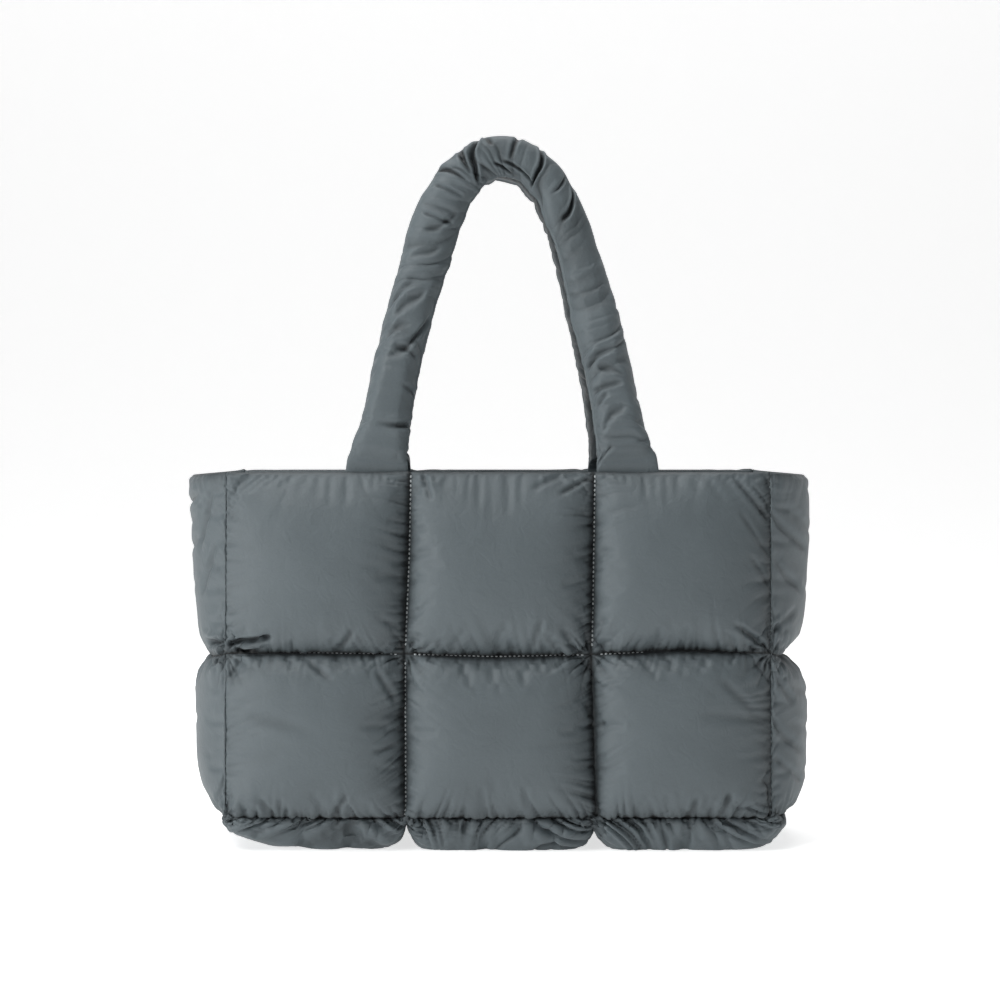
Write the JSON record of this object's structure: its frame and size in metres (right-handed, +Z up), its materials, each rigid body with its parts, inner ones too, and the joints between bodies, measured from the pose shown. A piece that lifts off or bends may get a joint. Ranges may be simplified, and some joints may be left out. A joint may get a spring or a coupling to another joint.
{
  "type": "puffer tote bag",
  "caption": "Open-topped puffer tote bag with quilted padded panels, gussets and base, and padded arched handles.",
  "frame": {"origin": "on the floor under the middle of the bag", "axes": "+X to the right across the front, +Y from the front to the back, +Z up"},
  "size_m": [0.4404, 0.167, 0.4888],
  "materials": {
    "shell_cloth": "matt down-proof nylon with a faint sheen",
    "handle_cloth": "matt down-proof nylon with a faint sheen"
  },
  "bodies": {
    "root": {"front_panel": "shell_cloth", "back_panel": "shell_cloth", "right_gusset": "shell_cloth", "left_gusset": "shell_cloth", "base": "shell_cloth", "front_handle": "handle_cloth", "back_handle": "handle_cloth"}
  },
  "joints": []
}
